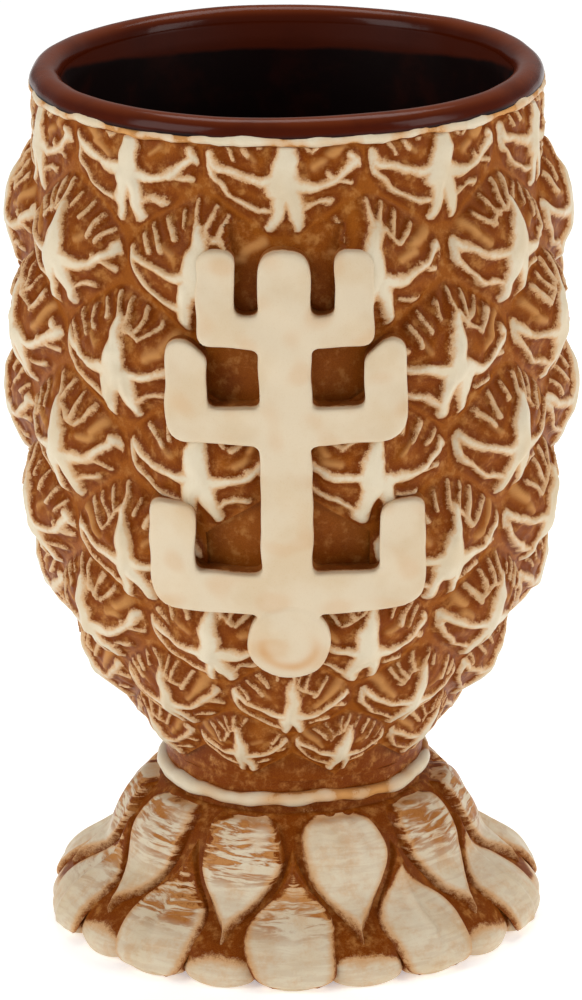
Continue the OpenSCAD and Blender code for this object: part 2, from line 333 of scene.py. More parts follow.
def mesh_piece(name, points, faces, layers, patterns=None):
    """A mesh object from points in millimetres and faces. layers holds named numbers for the points,
    and patterns the number of the pattern that each face belongs to."""
    mesh = bpy.data.meshes.new(name)
    mesh.from_pydata((np.asarray(points) * MM).tolist(), [], [list(map(int, f)) for f in faces])
    for key, values in layers.items():
        store(mesh, key, values)
    if patterns is not None:
        marks = mesh.attributes.new("pattern", "INT", "FACE")
        marks.data.foreach_set("value", np.asarray(patterns, np.int32))
    return weld(link(bpy.data.objects.new(name, mesh)))


def store(mesh, name, values):
    """Keeps a number for each point of the mesh, for the materials to read."""
    layer = mesh.attributes.new(name, "FLOAT", "POINT")
    layer.data.foreach_set("value", np.asarray(values, np.float32))


def joined(name, patterns, extra):
    """A mesh object that holds several patterns in one place. Each pattern is its points, faces, relief
    and the values of one extra layer."""
    points, relief, more = (np.concatenate([p[k] for p in patterns]) for k in (0, 2, 3))
    faces, marks, start = [], [], 0
    for number, pattern in enumerate(patterns):
        faces += [[start + k for k in face] for face in pattern[1]]
        marks += [number] * len(pattern[1])
        start += len(pattern[0])
    return mesh_piece(name, points, faces, {"relief": relief, extra: more}, marks)


def link(piece):
    bpy.context.scene.collection.objects.link(piece)
    return piece


def weld(piece, distance=1e-6):
    """Merges points that coincide, which closes poles and seams, and keeps steep edges sharp.
    Patterns lie in one place, so each is merged on its own."""
    shape = bmesh.new()
    shape.from_mesh(piece.data)
    mark = shape.faces.layers.int.get("pattern")
    patterns = {}
    for face in shape.faces:
        patterns.setdefault(face[mark] if mark else 0, {}).update(dict.fromkeys(face.verts))
    for verts in patterns.values():
        bmesh.ops.remove_doubles(shape, verts=list(verts), dist=distance)
    bmesh.ops.dissolve_degenerate(shape, dist=1e-8, edges=shape.edges)
    for edge in shape.edges:
        edge.smooth = edge.calc_face_angle(0) < SHARP
    for face in shape.faces:
        face.smooth = True
    shape.to_mesh(piece.data)
    shape.free()
    return piece


def grid_faces(rows, across):
    """Quads of a grid whose rows go up and whose points go right, facing outwards."""
    i, j = np.meshgrid(np.arange(rows - 1), np.arange(across - 1), indexing="ij")
    a = (i * across + j).ravel()
    return np.stack([a, a + 1, a + across + 1, a + across], 1)


def pad(front, back_point):
    """Points and faces of a grid closed at the back by a fan to one point."""
    rows, across = front.shape[:2]
    index = np.arange(rows * across).reshape(rows, across)
    rim = np.concatenate([index[0], index[1:, -1], index[-1, -2::-1], index[-2:0:-1, 0]])
    last = rows * across
    fan = [(last, b, a) for a, b in zip(rim, np.roll(rim, -1))]
    return np.vstack([front.reshape(-1, 3), [back_point]]), list(grid_faces(rows, across)) + fan


def turned(name, line, segments, change, layer=None):
    """Turns a closed line of (radius, height) round the axis. change moves the points by angle, and
    layer gives their relief."""
    angle = np.linspace(0, 2 * pi, segments, endpoint=False)
    radius, height = np.asarray(line, float).T
    a, r = np.meshgrid(angle, radius, indexing="ij")
    r, z = change(a, r, np.broadcast_to(height, r.shape))
    points = np.stack([r * np.sin(a), -r * np.cos(a), z], -1)
    count = len(line)
    i, j = np.meshgrid(np.arange(segments), np.arange(count), indexing="ij")
    ni, nj = (i + 1) % segments, (j + 1) % count
    faces = np.stack([i * count + j, ni * count + j, ni * count + nj, i * count + nj], -1)
    relief = layer(a, r, z) if layer else np.full(r.shape, -1.0)
    return mesh_piece(name, points.reshape(-1, 3), faces.reshape(-1, 4), {"relief": relief.ravel()})


def smoothstep(low, high, x):
    t = np.clip((x - low) / (high - low), 0, 1)
    return t * t * (3 - 2 * t)


def ripples(seed, wavelength, *places, waves=14):
    """A smooth field of about -1 to 1 made of waves in random directions."""
    rng = np.random.default_rng(seed)
    total = 0
    for _ in range(waves):
        way = rng.normal(size=len(places))
        way *= 2 * pi / (wavelength * rng.uniform(0.7, 1.6) * np.linalg.norm(way))
        total = total + np.sin(sum(w * p for w, p in zip(way, places)) + rng.uniform(0, 2 * pi))
    return total / np.sqrt(waves / 2) / 1.6


class Wall:
    """The outside of a turned CAD node: its radius at a height, and points that stand out from it."""

    STEP = 0.25

    def __init__(self, node, low, high, soft):
        """soft is the reach in millimetres over which the flats of the CAD node are evened out."""
        z, r = self.outside(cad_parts[node].data)
        self.z = np.arange(low, high + 0.1, self.STEP)
        reach = np.arange(-3 * soft, 3 * soft + 0.01, self.STEP)
        bell = np.exp(-(reach / soft) ** 2)
        padded = np.concatenate([self.z[0] + reach[reach < 0], self.z, self.z[-1] + reach[reach > 0]])
        line = np.interp(padded, z, r)
        before, after = padded < low, padded > high
        line[before] = 2 * line[~before][0] - np.interp(2 * low - padded[before], z, r)
        line[after] = 2 * line[~after][-1] - np.interp(2 * high - padded[after], z, r)
        self.r = np.convolve(line, bell / bell.sum(), "valid")[:len(self.z)]

    @staticmethod
    def outside(mesh):
        """Heights and radii of the points on faces that look away from the axis."""
        table = {}
        for face in mesh.polygons:
            if face.normal.xy.dot(face.center.xy.normalized()) <= 0.05:
                continue
            for k in face.vertices:
                point = mesh.vertices[k].co
                key = round(point.z / MM, 2)
                table[key] = max(table.get(key, 0), point.xy.length / MM)
        heights = sorted(table)
        return np.array(heights), np.array([table[k] for k in heights])

    def radius(self, z):
        return np.interp(z, self.z, self.r)

    def slope(self, z):
        return self.radius(z + 0.5) - self.radius(z - 0.5)

    def place(self, degrees, z, lift):
        """Points at an angle and height, lifted along the normal of the wall."""
        slope = self.slope(z)
        steep = np.hypot(1, slope)
        r = self.radius(z) + lift / steep
        a = np.radians(degrees)
        return np.stack([r * np.sin(a), -r * np.cos(a), z - lift * slope / steep], -1)


# ---- Geometry Nodes ----

def tree_with_inputs(name, inputs):
    """A geometry tree with named inputs given as (name, socket type, default)."""
    tree = bpy.data.node_groups.new(name, "GeometryNodeTree")
    tree.interface.new_socket("Geometry", in_out="INPUT", socket_type="NodeSocketGeometry")
    for label, kind, default in inputs:
        socket = tree.interface.new_socket(label, in_out="INPUT", socket_type="NodeSocket" + kind)
        if default is not None:
            socket.default_value = default
    tree.interface.new_socket("Geometry", in_out="OUTPUT", socket_type="NodeSocketGeometry")
    return tree, add_node(tree, "NodeGroupInput").outputs


def uneven(tree, geometry, size, wavelength, seed):
    """Moves every point a little by noise in space."""
    noise = add_node(tree, "ShaderNodeTexNoise", {"noise_dimensions": "4D"},
                     {"W": seed, "Detail": 1.0, "Scale": 1 / (wavelength * MM)})
    offset = add_node(tree, "ShaderNodeVectorMath", {"operation": "SUBTRACT"},
                      {0: noise.outputs["Color"], 1: (0.5, 0.5, 0.5)})
    scaled = add_node(tree, "ShaderNodeVectorMath", {"operation": "SCALE"},
                      {0: offset.outputs[0], "Scale": size})
    return add_node(tree, "GeometryNodeSetPosition", None,
                    {"Geometry": geometry, "Offset": scaled.outputs[0]}).outputs[0]


def finished(tree, geometry, material):
    """Ends a tree: real points, soft shading and the material."""
    real = add_node(tree, "GeometryNodeRealizeInstances", None, {0: geometry}).outputs[0]
    soft = add_node(tree, "GeometryNodeSetShadeSmooth", None, {0: real}).outputs[0]
    clad = add_node(tree, "GeometryNodeSetMaterial", None, {"Geometry": soft, "Material": material})
    add_node(tree, "NodeGroupOutput", None, {0: clad.outputs[0]})


def compare_whole(tree, value, whole):
    """True where a whole number has the given value."""
    return add_node(tree, "FunctionNodeCompare", {"data_type": "INT", "operation": "EQUAL"},
                    {2: value, 3: whole}).outputs[0]


def patterns_apart(tree, geometry, patterns):
    """The patterns of a mesh as one instance each. Join takes its links last first, so they are made
    from the last pattern to the first."""
    mark = add_node(tree, "GeometryNodeInputNamedAttribute", {"data_type": "INT"}, {"Name": "pattern"})
    join = add_node(tree, "GeometryNodeJoinGeometry")
    for k in reversed(range(patterns)):
        same = compare_whole(tree, mark.outputs[0], k)
        part = add_node(tree, "GeometryNodeSeparateGeometry", {"domain": "FACE"},
                        {"Geometry": geometry, "Selection": same})
        alone = add_node(tree, "GeometryNodeGeometryToInstance", None, {0: part.outputs[0]})
        tree.links.new(alone.outputs[0], join.inputs[0])
    return join.outputs[0]


def ring_tree(patterns):
    """Sets the patterns of the input mesh round the axis, one at each step, picked by a fixed seed."""
    tree, given = tree_with_inputs("ring of %d patterns" % patterns, [
        ("Count", "Int", 10), ("Phase", "Float", 0.0), ("Skip First", "Bool", False), ("Seed", "Int", 1),
        ("Unevenness", "Float", 0.0), ("Material", "Material", None)])
    points = add_node(tree, "GeometryNodePoints", None, {"Count": given["Count"]})
    index = add_node(tree, "GeometryNodeInputIndex").outputs[0]
    turn = Number(tree, index) * (2 * pi / Number(tree, given["Count"])) + given["Phase"]
    spin = add_node(tree, "ShaderNodeCombineXYZ", None, {"Z": turn})
    pick = add_node(tree, "FunctionNodeRandomValue", {"data_type": "INT"},
                    {4: 0, 5: patterns - 1, "Seed": given["Seed"], "ID": index})
    first = compare_whole(tree, index, 0)
    kept = add_node(tree, "FunctionNodeBooleanMath", {"operation": "NAND"},
                    {0: first, 1: given["Skip First"]})
    ring = add_node(tree, "GeometryNodeInstanceOnPoints", None, {
        "Points": points.outputs[0], "Instance": patterns_apart(tree, given["Geometry"], patterns),
        "Pick Instance": True, "Instance Index": pick.outputs[2], "Rotation": spin.outputs[0],
        "Selection": kept.outputs[0]})
    real = add_node(tree, "GeometryNodeRealizeInstances", None, {0: ring.outputs[0]}).outputs[0]
    finished(tree, uneven(tree, real, given["Unevenness"], 9.0, 1.0), given["Material"])
    return tree


def grown(piece, tree, inputs):
    """Runs a geometry tree on a piece and keeps the result as the piece's plain mesh."""
    modifier = piece.modifiers.new("grow", "NODES")
    modifier.node_group = tree
    for item in tree.interface.items_tree:
        if item.item_type == "SOCKET" and item.in_out == "INPUT" and item.name in inputs:
            modifier[item.identifier] = inputs[item.name]
    graph = bpy.context.evaluated_depsgraph_get()
    mesh = bpy.data.meshes.new_from_object(piece.evaluated_get(graph), depsgraph=graph)
    piece.modifiers.remove(modifier)
    old = piece.data
    piece.data = mesh
    mesh.name = old.name + ".made"
    bpy.data.meshes.remove(old)
    return piece


def hand_over(piece, slot, *nodes):
    """The piece rides on the mug's body and stands for these CAD nodes."""
    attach(piece, BODY)
    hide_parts(*nodes)
    return piece


# ---- Scales ----

class Strokes:
    """Raised strokes on a flat patch. inside is how far each point lies inside them, in millimetres, and
    faint the same for the strokes that hardly stand out. flip = -1 mirrors the strokes that follow."""

    BLEND = 0.5

    def __init__(self, x, y, half_w, half_h, size, rng):
        self.x, self.y, self.half_w, self.half_h, self.size, self.rng = x, y, half_w, half_h, size, rng
        self.flip = 1
        self.inside = np.full(x.shape, FAR_OUTSIDE)
        self.faint = np.full(x.shape, FAR_OUTSIDE)

    def stroke(self, line, radii, faint=False, shake=0.022):
        """A tapering stroke along a line of points given as parts of the half width and height."""
        line = np.array(line, float) * [self.flip, 1] + self.rng.normal(0, shake, (len(line), 2))
        line *= [self.half_w, self.half_h]
        radii = np.array(radii, float) * self.size * self.rng.uniform(0.88, 1.14)
        found = np.full(self.x.shape, FAR_OUTSIDE)
        for k in range(len(line) - 1):
            (ax, ay), (bx, by) = line[k], line[k + 1]
            dx, dy = bx - ax, by - ay
            t = np.clip(((self.x - ax) * dx + (self.y - ay) * dy) / (dx * dx + dy * dy + 1e-9), 0, 1)
            far = np.hypot(self.x - ax - t * dx, self.y - ay - t * dy)
            found = np.maximum(found, radii[k] + (radii[k + 1] - radii[k]) * t - far)
        if faint:
            self.faint = np.maximum(self.faint, found)
        else:
            soft = np.clip(0.5 + 0.5 * (found - self.inside) / self.BLEND, 0, 1)
            self.inside = self.inside + (found - self.inside) * soft + self.BLEND * soft * (1 - soft) * 0.5

    def bow(self, start, middle, end, radii):
        """A stroke along a curve that starts towards the middle point."""
        t = np.linspace(0, 1, 9)[:, None]
        start, middle, end = map(np.array, (start, middle, end))
        line = start * (1 - t) ** 2 + 2 * middle * t * (1 - t) + end * t * t
        line = line + self.rng.normal(0, 0.02, 2) * t
        self.stroke(line, np.interp(t[:, 0], [0, 0.5, 1], radii), shake=0.004)


def trunk_and_legs(s):
    s.stroke([(0.04, 0.52), (0.01, 0.12), (-0.01, -0.26)], [0.85, 1.85, 2.5])
    s.stroke([(-0.05, -0.3), (-0.14, -0.62), (-0.17, -0.96)], [1.8, 1.3, 0.75])
    s.stroke([(0.08, -0.3), (0.17, -0.6), (0.2, -0.92)], [1.7, 1.2, 0.65])


def right_arm(s):
    s.bow((0.1, -0.2), (0.48, -0.32), (0.88, 0.1), [1.5, 0.85, 1.05])
    s.stroke([(0.84, 0.12), (0.97, 0.02), (1.0, -0.12)], [1.0, 0.7, 0.3])
    if s.rng.random() < 0.8:
        s.stroke([(0.58, -0.06), (0.7, -0.14), (0.86, -0.2)], [0.5, 0.5, 0.55])
    else:
        s.stroke([(0.6, -0.2), (0.82, -0.26)], [0.35, 0.5])
    s.stroke([(0.3, -0.5), (0.56, -0.47)], [0.45, 0.65])
    if s.rng.random() < 0.6:
        s.stroke([(0.18, -0.55), (0.3, -0.5)], [0.5, 0.4])


def left_arm(s):
    s.bow((-0.1, -0.16), (-0.5, -0.2), (-0.93, 0.14), [1.3, 0.75, 1.05])
    s.stroke([(-0.93, 0.14), (-0.88, -0.08)], [1.0, 0.8])
    s.bow((-0.88, -0.06), (-0.7, -0.44), (-0.2, -0.6), [0.7, 0.55, 0.65])


def crown(s):
    """Fingers that fan out over the trunk, joined at their roots on one side."""
    s.flip = 1 if s.rng.random() < 0.6 else -1
    s.stroke([(0.04, 0.5), (0.13, 0.42), (0.22, 0.34), (0.32, 0.25)], [0.5, 0.42, 0.42, 0.45])
    s.stroke([(0.03, 0.5), (-0.02, 0.86)], [0.55, 0.34])
    s.stroke([(0.12, 0.44), (0.17, 0.8)], [0.48, 0.36])
    s.stroke([(0.22, 0.34), (0.36, 0.66)], [0.5, 0.4])
    s.stroke([(0.32, 0.25), (0.55, 0.48)], [0.5, 0.55])
    for root, tip, radius in (((-0.15, 0.5), (-0.21, 0.72), 0.4), ((-0.3, 0.34), (-0.43, 0.6), 0.5),
                              ((-0.46, 0.2), (-0.63, 0.46), 0.55), ((-0.62, 0.1), (-0.8, 0.32), 0.5)):
        if s.rng.random() < 0.88:
            s.stroke([root, tip], [radius, radius * 0.8])
    s.stroke([(0.56, 0.18), (0.72, 0.34)], [0.8, 0.9], faint=True)
    s.stroke([(0.4, 0.02), (0.53, 0.1)], [0.6, 0.7], faint=True)
    s.stroke([(-0.3, 0.1), (-0.42, 0.2)], [0.35, 0.4], faint=True)
    s.flip = 1


def scale_corners(row):
    """Corners of a scale as (part of the half step, height), round from the top; and its uncut top."""
    edge = EDGE_SHARE * (ROW_LOW[:-1] - ROW_LOW[1:])
    full_top = ROW_LOW[row - 1] - edge[row - 1]
    top, high = min(full_top, RELIEF_TOP), min(ROW_LOW[row], RELIEF_TOP)
    low, bottom = ROW_LOW[row] - edge[row], ROW_LOW[row + 1]
    return [(0, top), (1, high), (1, low), (0, bottom), (-1, low), (-1, high)], full_top


def scale_grid(corners, cut):
    """Part of the half step and height of each point of a scale, from the bottom up. A scale that is cut
    off under the lip keeps its full width at the top."""
    top, high, low, bottom = [height for _, height in corners[:4]]
    even = np.linspace(0, 1, SCALE_UP)
    crowded = (1 - np.cos(pi * even)) / 2
    rows = bottom + (top - bottom) * (0.65 * even + 0.35 * crowded)
    half = np.interp(rows, [bottom, low, high, top + 1e-6], [0, 1, 1, 1 if cut else 0])
    u = np.linspace(-1, 1, SCALE_ACROSS)[None, :] * half[:, None]
    return u, np.broadcast_to(rows[:, None], u.shape)


def edge_falloff(u, z, corners, middle):
    """0 in the middle of a six-cornered patch and 1 on its edge, with softened corners."""
    total = 0
    for (u0, z0), (u1, z1) in zip(corners, corners[1:] + corners[:1]):
        across = u0 * (z1 - middle) - u1 * (z0 - middle)
        share = (u * (z1 - z0) - (z - middle) * (u1 - u0)) / across
        total = total + np.clip(share, 0, None) ** 9
    return np.clip(total ** (1 / 9), 0, 1)


def scale_figure(wall, row, number, u, z):
    """The strokes on one scale, and how far its points lie inside the trunk and legs alone."""
    corners, full_top = scale_corners(row)
    bottom = corners[3][1]
    centre = (full_top + bottom) / 2
    stretch = float(np.hypot(1, wall.slope(centre)))
    half_w = radians(HALF_STEP) * (float(wall.radius(min(centre, RELIEF_TOP))) + 2)
    half_h = (full_top - bottom) / 2 * stretch
    size = np.sqrt(half_w * half_h / (FIGURE_HALF_W * FIGURE_HALF_H))
    x, y = u * half_w, (z - centre) * stretch
    x = x + 0.35 * size * ripples(700 + 10 * row + number, 5.5, x, y)
    y = y + 0.35 * size * ripples(900 + 10 * row + number, 5.5, x, y)
    s = Strokes(x, y, half_w, half_h, size, np.random.default_rng(100 * row + number))
    trunk_and_legs(s)
    keel = s.inside.copy()
    right_arm(s)
    left_arm(s)
    crown(s)
    return s, keel


def scale_pattern(wall, row, number):
    """One scale in front of the axis: its points, faces, relief and tint."""
    corners, full_top = scale_corners(row)
    top, bottom = corners[0][1], corners[3][1]
    middle = (corners[1][1] + corners[2][1]) / 2
    u, z = scale_grid(corners, top < full_top)
    fall = edge_falloff(u, z, corners, middle)
    s, keel = scale_figure(wall, row, number, u, z)
    rise = FIRST_ROW_RISE if row == 1 else SCALE_RISE * min(1, (top - bottom) / FULL_SCALE_H)
    stand = s.size * (0.8 if row == 1 else 1.0)
    raised = 0.85 * smoothstep(-0.45, 0.5, s.inside) + 0.5 * smoothstep(0.2, 2.2, keel)
    raised = np.maximum(raised, 0.5 * smoothstep(-0.5, 0.7, s.faint))
    dome = (rise - FIGURE_STAND * stand) * np.clip(1 - fall ** 2, 0, 1) ** 1.3
    lumps = 0.16 * s.size * ripples(40 + row, 4.0, s.x, s.y)
    lift = dome + smoothstep(1.0, 0.86, fall) * (raised * stand + lumps) + 0.35
    points, faces = pad(wall.place(u * HALF_STEP, z, lift), wall.place(0, middle, -SCALE_ROOT))
    relief = s.inside - 1.2 * smoothstep(0.93, 1.0, fall)
    tint = 0.7 * smoothstep(-0.5, 0.6, s.faint)
    return points, faces, np.append(relief.ravel(), STAINED), np.append(tint.ravel(), 0)


def scale_row(wall, row, tree, material):
    """One row of scales, turned by half a step in every second row."""
    patterns = [scale_pattern(wall, row, number) for number in range(PATTERNS)]
    piece = joined("scale_row_%d.relief" % row, patterns, "tint")
    grown(piece, tree, {
        "Count": SCALES_AROUND, "Phase": 0.0 if row % 2 else radians(HALF_STEP),
        "Skip First": row in BARE_FRONT_ROWS, "Seed": 3 + row, "Unevenness": 0.6 * MM, "Material": material})
    if row % 2 == 0:
        # The even rows reach in from both sides
        smooth_beside_totem(piece, wall)
    return hand_over(piece, "scale_relief", "scale_row_%d" % row)


def smooth_beside_totem(piece, wall):
    """Takes the strokes off the ground that lies between the arms of the totem."""
    mesh = piece.data
    flat = np.empty(len(mesh.vertices) * 3, np.float32)
    mesh.vertices.foreach_get("co", flat)
    place = flat.reshape(-1, 3) / MM
    x, y, z = place.T
    relief = np.empty(len(place), np.float32)
    mesh.attributes["relief"].data.foreach_get("value", relief)
    inside = np.zeros(len(place), bool)
    for half, low, high in BARE_GROUND:
        inside |= (np.abs(x) < half) & (z > low) & (z < high) & (y < 0)
    r = np.hypot(x, y)
    new_r = np.where(inside, np.minimum(r, wall.radius(z) + BARE_GROUND_LIFT), r)
    place[:, :2] *= (new_r / np.maximum(r, 1e-6))[:, None]
    relief[inside] = np.minimum(relief[inside], -1.4)
    mesh.vertices.foreach_set("co", (place * MM).ravel().astype(np.float32))
    mesh.attributes["relief"].data.foreach_set("value", relief)
    mesh.update()


# ---- Totem ----

def tier_sizes():
    """(prong inner side, outer side, underside, notch, top) of each tier."""
    sizes = []
    for node, prong, bar in (("totem_top_tier", 6.2, 5.0), ("totem_middle_tier", 6.9, 6.1),
                             ("totem_low_tier", 7.4, 7.2)):
        low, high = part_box(node)
        outer = high.x / MM
        sizes.append((outer - prong, outer, low.z / MM, low.z / MM + bar * HK, high.z / MM))
    return sizes


def rounded(corners, segments=7):
    """Points of a closed outline whose corners (x, z, radius) are rounded."""
    line = []
    count = len(corners)
    for k, (x, z, radius) in enumerate(corners):
        here = Vector((x, z))
        before = (Vector(corners[k - 1][:2]) - here).normalized()
        after = (Vector(corners[(k + 1) % count][:2]) - here).normalized()
        if radius < 0.01:
            line.append(here)
            continue
        start, end = here + before * radius, here + after * radius
        for t in np.linspace(0, 1, segments):
            line.append(start * (1 - t) ** 2 + here * 2 * t * (1 - t) + end * t * t)
    return line


def totem_disc():
    """Height of the middle of the disc, and its radius."""
    low, high = [p.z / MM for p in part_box("totem_disc")]
    return (low + high) / 2, (high - low) / 2


def totem_outline():
    """The outline of the totem, all round: post, tiers and disc."""
    top, middle, low = tier_sizes()
    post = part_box("totem_post")[1] / MM
    disc_z, disc_r = totem_disc()
    half = post.x
    right = [(0, post.z, 0), (half, post.z, 3.8), (half, top[3], 1.4), (top[0], top[3], 1.4),
             (top[0], top[4], 2.6), (top[1], top[4], 2.8), (top[1], top[2], 2.2), (half, top[2], 1.2),
             (half, middle[3], 1.2), (middle[0], middle[3], 1.2), (middle[0], top[2] - 2.2, 1.0),
             (middle[0] + 3.2, middle[4] + 0.4, 1.6), (middle[1], middle[4] - 0.4, 2.4),
             (middle[1], middle[2], 4.2), (half, middle[2], 1.2), (half, low[3], 1.2), (low[0], low[3], 1.4),
             (low[0], low[4], 2.6), (low[1], low[4], 2.4), (low[1], low[2], 5.0)]
    turn = np.arcsin(min(1, (low[2] - disc_z) / disc_r))
    around = [(disc_r * cos(a), disc_z + disc_r * sin(a)) for a in np.linspace(turn, -pi / 2, 22)]
    line = [tuple(p) for p in rounded(right + [(around[0][0], low[2], 0.0), (0, low[2], 0)])[:-2]]
    line = line + around
    return line + [(-x, z) for x, z in reversed(line[1:-1])]


def slab(outline, depth):
    """A closed mesh of even quads in the shape of the outline, with its edges softened."""
    curve = bpy.data.curves.new("slab", "CURVE")
    curve.dimensions, curve.fill_mode, curve.extrude = "2D", "BOTH", depth / 2
    spline = curve.splines.new("POLY")
    spline.points.add(len(outline) - 1)
    for point, (x, z) in zip(spline.points, outline):
        point.co = (x, z, 0, 1)
    spline.use_cyclic_u = True
    drawn = link(bpy.data.objects.new("slab.drawn", curve))
    graph = bpy.context.evaluated_depsgraph_get()
    solid = link(bpy.data.objects.new("slab", bpy.data.meshes.new_from_object(drawn.evaluated_get(graph))))
    weld(solid, 0.001)
    remesh = solid.modifiers.new("even", "REMESH")
    remesh.mode, remesh.voxel_size = "VOXEL", TOTEM_GRAIN
    soften = solid.modifiers.new("soften", "SMOOTH")
    soften.factor, soften.iterations = 0.5, 4
    graph = bpy.context.evaluated_depsgraph_get()
    mesh = bpy.data.meshes.new_from_object(solid.evaluated_get(graph))
    for piece in (drawn, solid):
        bpy.data.objects.remove(piece)
    return mesh


def totem_lift_and_tint(x, z, depth):
    """How far each point of the totem stands off the wall, and how much stain is left there, with painted
    shade in a ring round the lower half of the disc.
    """
    disc_z, disc_r = totem_disc()
    up = (z - disc_z) / disc_r
    away = np.hypot(x / disc_r, up)
    lift = TOTEM_RISE - TOTEM_DEPTH / 2 + depth
    front = smoothstep(2.0, 4.5, lift)
    button = np.sqrt(np.clip(1 - away ** 2, 0, 1))
    lift = lift - 0.5 + front * (0.2 * ripples(5, 9.0, x, z) + 0.6 * button)
    # Painted shade: a honey ring round the lower half of the disc, under its raised edge
    ring = 0.5 * np.exp(-((away - 0.62) / 0.13) ** 2) * smoothstep(0.5, -0.5, up)
    return lift, ring + 0.12 + 0.2 * smoothstep(0.1, 1.2, ripples(9, 7.0, x, z))


def totem(wall, material):
    """One slab in the outline of the post, the tiers and the disc, bent on to the wall."""
    mesh = slab(totem_outline(), TOTEM_DEPTH)
    flat = np.empty(len(mesh.vertices) * 3, np.float32)
    mesh.vertices.foreach_get("co", flat)
    x, z, depth = flat.reshape(-1, 3).astype(float).T
    lift, tint = totem_lift_and_tint(x, z, depth)
    x = x + 0.15 * ripples(6, 8.0, z, x)
    z = z + 0.15 * ripples(8, 8.0, x, z)
    r = wall.radius(z) + lift
    points = np.stack([x, -np.sqrt(r * r - x * x), z], -1) * MM
    mesh.vertices.foreach_set("co", points.ravel().astype(np.float32))
    store(mesh, "relief", lift - 2.6)
    store(mesh, "tint", tint)
    mesh.update()
    mesh.shade_smooth()
    mesh.materials.append(material)
    piece = link(bpy.data.objects.new("totem.slab", mesh))
    return hand_over(piece, "cream_relief", "totem_post", "totem_top_tier", "totem_middle_tier",
                     "totem_low_tier", "totem_disc")


# ---- Cup, lip and ridges ----

def lip_arc(radius, start, end, steps):
    return [(LIP_RING + radius * cos(a), LIP_MID + radius * sin(a)) for a in np.linspace(start, end, steps)]


def cup_inside(wall, coat):
    """Inner line from the mouth down to the middle of the floor, under a coat of this thickness."""
    heights = np.arange(LIP_MID - 2, FLOOR_Z + 7, -1.5)
    line = [(float(wall.radius(z)) - WALL_T - coat, z) for z in heights]
    r0, z0 = line[-1]
    floor = FLOOR_Z + coat
    for t in np.linspace(0, 1, 14)[1:]:
        left = 1 - t
        line.append((r0 * left ** 2 + 2 * t * left * r0 * 0.78, z0 * left ** 2 + floor * (1 - left ** 2)))
    return line


def coated(piece, material, node, slot):
    """Gives a turned piece its material and hands it over."""
    piece.data.materials.append(material)
    return hand_over(piece, slot, node)


def bowl(wall, material):
    """The cup casting: a wall that lies a little under the scales, the core of the lip and the floor."""
    outside = [(float(wall.radius(z)), z) for z in np.arange(NECK_TOP, WALL_TOP + 0.1, 0.95)]
    under_lip = [(41.5, 145.4), (41.6, 146.3)]
    core = lip_arc(LIP_ROLL - 1.0, -0.2, pi, 20)
    line = [(0.0, NECK_TOP)] + outside + under_lip + core + cup_inside(wall, 0)

    def waver(a, r, z):
        out = (z < WALL_TOP) & (r > wall.radius(z) - 1)
        sunk = WALL_SUNK * smoothstep(32, 34, z) * smoothstep(WALL_TOP, 142, z)
        return r + out * (0.12 * ripples(11, 12.0, r * np.sin(a), r * np.cos(a), z) - sunk), z

    def relief_layer(a, r, z):
        clouds = 0.5 * ripples(12, 10.0, r * np.sin(a), r * np.cos(a), z)
        # Painted shade: below 38 mm the relief rises, which paints the underside of the bowl darker brown
        # where it lies in shadow over the neck; the clouds are patches of the stain
        return -1.9 + 1.3 * smoothstep(38, 33, z) + clouds

    return coated(turned("bowl.wall", line, 240, waver, relief_layer), material, "bowl", "stained_clay")


def liner(wall, material):
    """The glaze coat: up the inside, over the lip and down to just above the ridge."""
    over = lip_arc(LIP_ROLL - 0.12, -0.12, pi, 36)
    under = lip_arc(LIP_ROLL - GLAZE_T, pi, -0.05, 24)
    line = over + cup_inside(wall, GLAZE_T) + cup_inside(wall, 0)[::-1] + under

    def waver(a, r, z):
        near = smoothstep(138, 147, z)
        x, y = GLAZE_EDGE_R * np.sin(a), GLAZE_EDGE_R * np.cos(a)
        wave, fine = ripples(21, 34.0, x, y), ripples(22, 11.0, x, y)
        return r + near * 0.12 * fine, z - near * (0.16 + 0.13 * wave)

    return coated(turned("inner_glaze.coat", line, 300, waver), material, "inner_glaze", "brown_glaze")


def wandering(tree, seed, scale):
    """Noise in space from 0 to 1."""
    noise = add_node(tree, "ShaderNodeTexNoise", {"noise_dimensions": "4D"},
                     {"W": seed, "Detail": 2.0, "Scale": scale})
    return Number(tree, noise.outputs[0])


def wandering_ring(tree, given, scale):
    """A circle round the axis whose height wanders."""
    circle = add_node(tree, "GeometryNodeCurvePrimitiveCircle", {"mode": "RADIUS"},
                      {"Resolution": 360, "Radius": given["Radius"]})
    height = (wandering(tree, given["Seed"], scale) - 0.5) * given["Wander"] + given["Height"]
    offset = add_node(tree, "ShaderNodeCombineXYZ", None, {"Z": height})
    return add_node(tree, "GeometryNodeSetPosition", None,
                    {"Geometry": circle.outputs[0], "Offset": offset.outputs[0]}).outputs[0]


